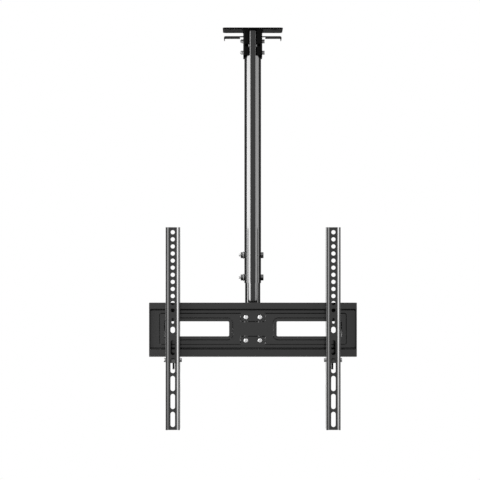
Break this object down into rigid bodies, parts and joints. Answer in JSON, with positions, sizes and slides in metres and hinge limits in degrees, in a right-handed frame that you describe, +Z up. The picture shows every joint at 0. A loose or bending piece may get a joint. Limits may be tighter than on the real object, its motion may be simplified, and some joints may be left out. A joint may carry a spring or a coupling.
{
  "type": "tv ceiling mount",
  "caption": "Ceiling mount for a television: ceiling plate, height-adjustable round pole, swivel and tilt head, slotted plate and hook-on arms.",
  "frame": {"origin": "centre of the ceiling plate's top face", "axes": "+Z up to the ceiling, -Y towards the television's screen side, +X right as seen from the front"},
  "size_m": [0.444, 0.12, 0.861],
  "materials": {
    "tube_black": "gloss powder coat",
    "sheet_black": "satin powder coat",
    "sleeve_black": "satin powder coat",
    "bright_zinc": "bright zinc plate",
    "dark_steel": "black oxide",
    "lock_steel": "grey zinc plate",
    "black_nylon": "moulded"
  },
  "bodies": {
    "ceiling_frame": {"ceiling_plate": "sleeve_black", "top_sleeve": "sleeve_black", "cover_brackets": "sleeve_black", "outer_tube": "tube_black", "top_bolts": "bright_zinc", "top_nuts": "bright_zinc", "clamp_bolts": "dark_steel", "clamp_saddles": "dark_steel", "clamp_washers": "bright_zinc", "clamp_nuts": "dark_steel"},
    "inner_pole": {"inner_tube": "tube_black", "tube_foot": "sheet_black", "swivel_bolt": "dark_steel", "swivel_bush": "black_nylon", "swivel_washer": "dark_steel", "swivel_nut": "dark_steel"},
    "swivel_head": {"swivel_yoke": "sheet_black", "tilt_bolts": "dark_steel", "tilt_washers": "dark_steel", "tilt_nuts": "dark_steel"},
    "tilt_frame": {"tilt_bracket": "sheet_black", "tv_plate": "sheet_black", "plate_screws": "bright_zinc", "plate_nuts": "bright_zinc"},
    "left_arm_body": {"left_arm": "sheet_black", "left_lock_bolt": "lock_steel", "left_lock_washer": "lock_steel", "left_lock_nut": "lock_steel", "left_lock_block": "black_nylon"},
    "left_lock": {"left_lock_screw": "lock_steel"},
    "right_arm_body": {"right_arm": "sheet_black", "right_lock_bolt": "lock_steel", "right_lock_washer": "lock_steel", "right_lock_nut": "lock_steel", "right_lock_block": "black_nylon"},
    "right_lock": {"right_lock_screw": "lock_steel"}
  },
  "joints": [
    {"name": "pole_height", "type": "slide", "parent": "ceiling_frame", "child": "inner_pole", "axis": [0, 0, 1], "range_m": [-0.3, 0]},
    {"name": "head_swivel", "type": "hinge", "parent": "inner_pole", "child": "swivel_head", "pos_m": [0, 0, -0.6507], "axis": [0, 0, 1], "continuous": true},
    {"name": "head_tilt", "type": "hinge", "parent": "swivel_head", "child": "tilt_frame", "pos_m": [0, 0, -0.6507], "axis": [1, 0, 0], "range_deg": [0, 15]},
    {"name": "left_arm_slide", "type": "slide", "parent": "tilt_frame", "child": "left_arm_body", "axis": [1, 0, 0], "range_m": [-0.03, 0.12]},
    {"name": "left_lock_travel", "type": "slide", "parent": "left_arm_body", "child": "left_lock", "axis": [0, 0, 1], "range_m": [-0.012, 0.004]},
    {"name": "right_arm_slide", "type": "slide", "parent": "tilt_frame", "child": "right_arm_body", "axis": [1, 0, 0], "range_m": [-0.12, 0.03]},
    {"name": "right_lock_travel", "type": "slide", "parent": "right_arm_body", "child": "right_lock", "axis": [0, 0, 1], "range_m": [-0.012, 0.004]}
  ]
}
